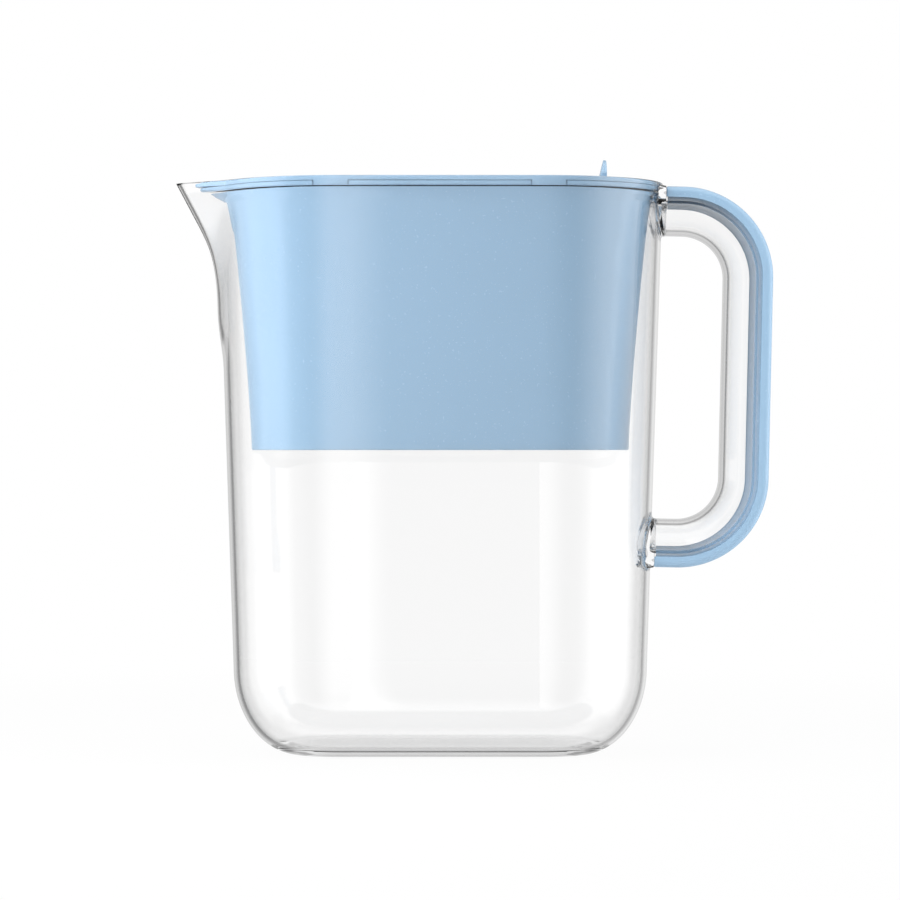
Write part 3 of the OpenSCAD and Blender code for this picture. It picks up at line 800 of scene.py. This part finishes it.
BLUE = srgb(158, 193, 222)
blue, clear = coloured_plastic("blue_plastic", BLUE), clear_plastic("clear_plastic")
for piece, material in ((jug, clear), (grip, blue), (tub, blue), (lid, blue), (door, blue)):
    piece.data.materials.clear()
    piece.data.materials.append(material)
print("finishes:", blue.name, clear.name)

# %% [markdown]
# ## The cartridge
#
# The cartridge hides in the well and shows only when the pitcher is taken apart. Its cup and cap
# are plain white plastic with a light texture, the seal is rubber, and inside lie pads, carbon and
# resin, which a coarse noise turns into grains.


# %% Finishes of the cartridge
def granules(name, dark, light, scale):
    """Packed grains: Voronoi cells carry the colour, and their distance gives the bumps."""
    material, tree, shader = new_material(name)
    add, link = tree.nodes.new, tree.links.new
    place, cells, mix, bump = (add("ShaderNodeTexCoord"), add("ShaderNodeTexVoronoi"),
                               add("ShaderNodeMix"), add("ShaderNodeBump"))
    mix.data_type = "RGBA"
    mix.inputs["A"].default_value, mix.inputs["B"].default_value = dark, light
    cells.inputs["Scale"].default_value = scale
    bump.inputs["Distance"].default_value = 0.0004
    link(place.outputs["Object"], cells.inputs["Vector"])
    link(cells.outputs["Color"], mix.inputs["Factor"])
    link(mix.outputs["Result"], shader.inputs["Base Color"])
    link(cells.outputs["Distance"], bump.inputs["Height"])
    link(bump.outputs["Normal"], shader.inputs["Normal"])
    shader.inputs["Roughness"].default_value = 0.6
    return material


white = coloured_plastic("white_plastic", srgb(236, 238, 240), low=0.4, high=0.5, gloss=0.5)
rubber = coloured_plastic("seal_rubber", srgb(62, 64, 68), low=0.6, high=0.75, gloss=0.4)
mesh_finish = granules("screen_mesh", srgb(190, 192, 194), srgb(235, 236, 238), 1500)
fleece = granules("fleece", srgb(215, 216, 216), srgb(246, 246, 246), 1200)
carbon = granules("carbon", srgb(18, 18, 20), srgb(58, 58, 60), 700)
resin = granules("resin", srgb(150, 96, 40), srgb(226, 168, 92), 900)
FILTER_FINISH = {"filter_cup": white, "filter_cap": white, "filter_seal": rubber,
                 "inlet_screen": mesh_finish, "outlet_screen": mesh_finish, "top_pad": fleece,
                 "divider_pad": fleece, "carbon_bed": carbon, "resin_bed": resin}
for node, material in FILTER_FINISH.items():
    mesh = nodes[node].data
    mesh.materials.clear()
    mesh.materials.append(material)
print("cartridge pieces:", len(FILTER_FINISH))

# %% [markdown]
# ## Studio
#
# A clear object is drawn by its surroundings. What is seen straight through its walls is the white
# background, so every ray that was only bent on its way sees plain white. A ray that was mirrored
# on its way, on a face or inside the wall's edge, sees the room: soft boxes in front and beside,
# and darkness behind them. That gives bright fields with soft ends and a thin dark line along
# each edge, as between a light table and black flags.


# %% Small tools for the studio's nodes
def calc(tree, operation, *values):
    """A math node. Its inputs are sockets or numbers."""
    node = tree.nodes.new("ShaderNodeMath")
    node.operation = operation
    for socket, value in zip(node.inputs, values):
        if isinstance(value, bpy.types.NodeSocket):
            tree.links.new(value, socket)
        else:
            socket.default_value = value
    return node.outputs[0]


def soft_band(tree, value, rise, fall, height):
    """A band of a value: 0 outside, the given height inside, with smooth ramps at both ends."""
    ramps = []
    for (low, high), (start, end) in ((rise, (0, height)), (fall, (1, 0))):
        ramp = tree.nodes.new("ShaderNodeMapRange")
        ramp.interpolation_type = "SMOOTHSTEP"
        for name, number in (("From Min", low), ("From Max", high),
                             ("To Min", start), ("To Max", end)):
            ramp.inputs[name].default_value = number
        tree.links.new(value, ramp.inputs["Value"])
        ramps.append(ramp.outputs["Result"])
    return calc(tree, "MULTIPLY", *ramps)


def only_bent(tree):
    """1 for rays from the camera, bent or not, and 0 after a mirror or a matt surface."""
    path = tree.nodes.new("ShaderNodeLightPath")
    turns = calc(tree, "ADD", path.outputs["Glossy Depth"], path.outputs["Diffuse Depth"])
    return calc(tree, "SUBTRACT", 1.0, calc(tree, "MINIMUM", turns, 1.0))


# %% Levels of the room
DARK_LEVEL = 0.25     # between the soft boxes, and so the line along each edge
FRONT_LEVEL = 0.15    # added all over the camera's half of the room
GROUND_LEVEL = 0.4    # added below the table
CAP_LEVEL = 0.4       # added straight behind the pitcher
MATT_SHARE = 0.15     # how much of the room's light reaches matt surfaces, beside the lamps
CAP_EDGE = (math.cos(math.radians(30)), math.cos(math.radians(26)))
BOX_FOOT, BOX_HEAD = (-0.8, -0.35), (0.7, 0.85)  # the boxes' ends, as a direction's height
CEILING_EDGE, GROUND_EDGE = (0.6, 0.85), (-0.75, -0.4)
NEVER, ALWAYS = (2, 3), (-3, -2)                 # a ramp that no direction reaches, or each one
# soft boxes by their direction from the camera's side, in degrees to the right: where each rises,
# where it falls, and how much brighter than the room it is
SOFT_BOXES = {
    "front": ((-122, -104), (104, 122), FRONT_LEVEL),
    "left": ((-122, -110), (-62, -44), 0.7),
    "strip": ((-30, -2), (-1.7, -0.9), 0.9),
    "middle": ((-30, -8), (8, 30), 0.15),
    "right": ((30, 76), (104, 120), 1.1),
    "right back": ((98, 120), (166, 178), 0.15),
}

# %% The room: brightness over the direction in which a mirrored ray leaves
world = bpy.data.worlds.new("studio")
bpy.context.scene.world = world
world.use_nodes = True
tree = world.node_tree
way, axes = tree.nodes.new("ShaderNodeTexCoord"), tree.nodes.new("ShaderNodeSeparateXYZ")
tree.links.new(way.outputs["Generated"], axes.inputs["Vector"])
x, y, z = axes.outputs
side = calc(tree, "ARCTAN2", x, calc(tree, "MULTIPLY", y, -1.0))
boxes = None
for name, (rise, fall, level) in SOFT_BOXES.items():
    band = soft_band(tree, side, np.radians(rise), np.radians(fall), level)
    boxes = band if boxes is None else calc(tree, "ADD", boxes, band)
boxes = calc(tree, "MULTIPLY", boxes, soft_band(tree, z, BOX_FOOT, BOX_HEAD, 1.0))
ceiling = soft_band(tree, z, CEILING_EDGE, NEVER, 1.0)
ground = soft_band(tree, z, ALWAYS, GROUND_EDGE, GROUND_LEVEL)
cap = soft_band(tree, y, CAP_EDGE, NEVER, CAP_LEVEL)
room = calc(tree, "ADD", calc(tree, "ADD", boxes, DARK_LEVEL), calc(tree, "MAXIMUM", ceiling, cap))
room = calc(tree, "ADD", room, ground)

# %% Who sees the room: mirrored rays in full, matt surfaces a share, all others plain white
path = tree.nodes.new("ShaderNodeLightPath")
matt = calc(tree, "MINIMUM", path.outputs["Diffuse Depth"], 1.0)
share = calc(tree, "SUBTRACT", 1.0, calc(tree, "MULTIPLY", matt, 1 - MATT_SHARE))
bent = only_bent(tree)
unbent = calc(tree, "SUBTRACT", 1.0, bent)
level = calc(tree, "ADD", bent, calc(tree, "MULTIPLY", calc(tree, "MULTIPLY", room, share), unbent))
tree.links.new(level, tree.nodes["Background"].inputs["Strength"])
tree.nodes["Background"].inputs["Color"].default_value = (1, 1, 1, 1)
world.cycles.sampling_method = "NONE"
print("soft boxes:", ", ".join(SOFT_BOXES))

# %% [markdown]
# ## Floor
#
# The floor is a pale sheet. Most of what the camera sees of it is plain white, so that it goes on
# into the background without a line, and the rest is matt and takes the pitcher's shadow. Mirrored
# rays pass it, because the room is drawn in full, also below the table.


# %% Floor
WHITE_SHARE = 0.95                # in the middle, where the shadow falls
FADE_START, FADE_END = 0.2, 0.7   # distances from the middle, in metres
FLOOR_DROP = 0.0001               # keeps the floor off the pitcher's base
WIDE, FRONT, BACK = 1.2, -1.2, 1.6


def pale_floor(name):
    """Matt white, of which a share is replaced by white light for rays from the camera. Away from
    the middle the share grows to 1, so that the floor has no visible end."""
    material, tree, shader = new_material(name)
    shader.inputs["Base Color"].default_value = (0.92, 0.92, 0.92, 1)
    shader.inputs["Roughness"].default_value = 0.9
    shader.inputs["Specular IOR Level"].default_value = 0.0
    add, link = tree.nodes.new, tree.links.new
    glow, lit, past, out = (add("ShaderNodeEmission"), add("ShaderNodeMixShader"),
                            add("ShaderNodeBsdfTransparent"), add("ShaderNodeMixShader"))
    path, place = add("ShaderNodeLightPath"), add("ShaderNodeTexCoord")
    far, fade = add("ShaderNodeVectorMath"), add("ShaderNodeMapRange")
    far.operation, fade.interpolation_type = "LENGTH", "SMOOTHSTEP"
    link(place.outputs["Object"], far.inputs[0])
    link(far.outputs["Value"], fade.inputs["Value"])
    for name, number in (("From Min", FADE_START), ("From Max", FADE_END),
                         ("To Min", WHITE_SHARE), ("To Max", 1.0)):
        fade.inputs[name].default_value = number
    link(calc(tree, "MULTIPLY", only_bent(tree), fade.outputs["Result"]), lit.inputs["Fac"])
    link(shader.outputs["BSDF"], lit.inputs[1])
    link(glow.outputs["Emission"], lit.inputs[2])
    link(calc(tree, "MINIMUM", path.outputs["Glossy Depth"], 1.0), out.inputs["Fac"])
    link(lit.outputs["Shader"], out.inputs[1])
    link(past.outputs["BSDF"], out.inputs[2])
    link(out.outputs["Shader"], tree.nodes["Material Output"].inputs["Surface"])
    return material


mesh = bpy.data.meshes.new("floor")
mesh.from_pydata([(-WIDE, FRONT, -FLOOR_DROP), (WIDE, FRONT, -FLOOR_DROP),
                  (WIDE, BACK, -FLOOR_DROP), (-WIDE, BACK, -FLOOR_DROP)], [], [(0, 1, 2, 3)])
mesh.materials.append(pale_floor("pale_floor"))
floor = bpy.data.objects.new("floor", mesh)
bpy.context.scene.collection.objects.link(floor)
print("floor:", round(2 * WIDE, 2), "by", round(BACK - FRONT, 2), "m")

# %% [markdown]
# ## Lamps and camera
#
# The lamps light the matt part of each surface. A near one on the left lets the coloured plastic
# fade towards the right, and wide ones on the right and above fill the shadows. They are hidden
# from mirrored rays, which see the soft boxes of the room instead. The camera stands level, at the
# height of the pitcher's middle, with a long lens. Light runs far inside the edges of clear
# plastic before it leaves, so it may be mirrored and bent more often than is usual.


# %% Lamps
MIDDLE = (0, 0, 0.13)


def soft_lamp(name, place, size, power):
    """A rectangular lamp that faces the pitcher's middle and shows in no mirror."""
    lamp = bpy.data.lights.new(name, "AREA")
    lamp.shape, lamp.size, lamp.size_y, lamp.energy = "RECTANGLE", size[0], size[1], power
    holder = bpy.data.objects.new(name, lamp)
    holder.location = place
    holder.rotation_euler = (Vector(MIDDLE) - Vector(place)).to_track_quat("-Z", "Y").to_euler()
    holder.visible_glossy = holder.visible_transmission = False
    bpy.context.scene.collection.objects.link(holder)


# place and size in metres, power in watts
LAMPS = {"left": ((-0.5, -0.42, 0.25), (0.4, 0.7), 5.6),
         "right": ((1.2, -0.15, 0.25), (0.6, 1.0), 12),
         "top": ((0.0, -0.1, 1.5), (1.4, 1.2), 12)}
for name, (place, size, power) in LAMPS.items():
    soft_lamp(name, place, size, power)
print("lamps:", ", ".join(LAMPS))

# %% Camera and the light's path
EYE = (0.0043, -1.579, 0.1335)    # where the photograph was taken from, in metres
LENS = 143.5

scene = bpy.context.scene
camera = bpy.data.cameras.new("camera")
camera.sensor_width, camera.lens = 36.0, LENS
camera.clip_start, camera.clip_end = 0.05, 20
eye = bpy.data.objects.new("camera", camera)
eye.location = EYE
eye.rotation_euler = (math.pi / 2, 0, 0)
scene.collection.objects.link(eye)
scene.camera = eye
scene.view_settings.view_transform = "Standard"
scene.cycles.glossy_bounces = 16
scene.cycles.transmission_bounces = 24
scene.cycles.max_bounces = 32
print("camera at", EYE, "lens", LENS)
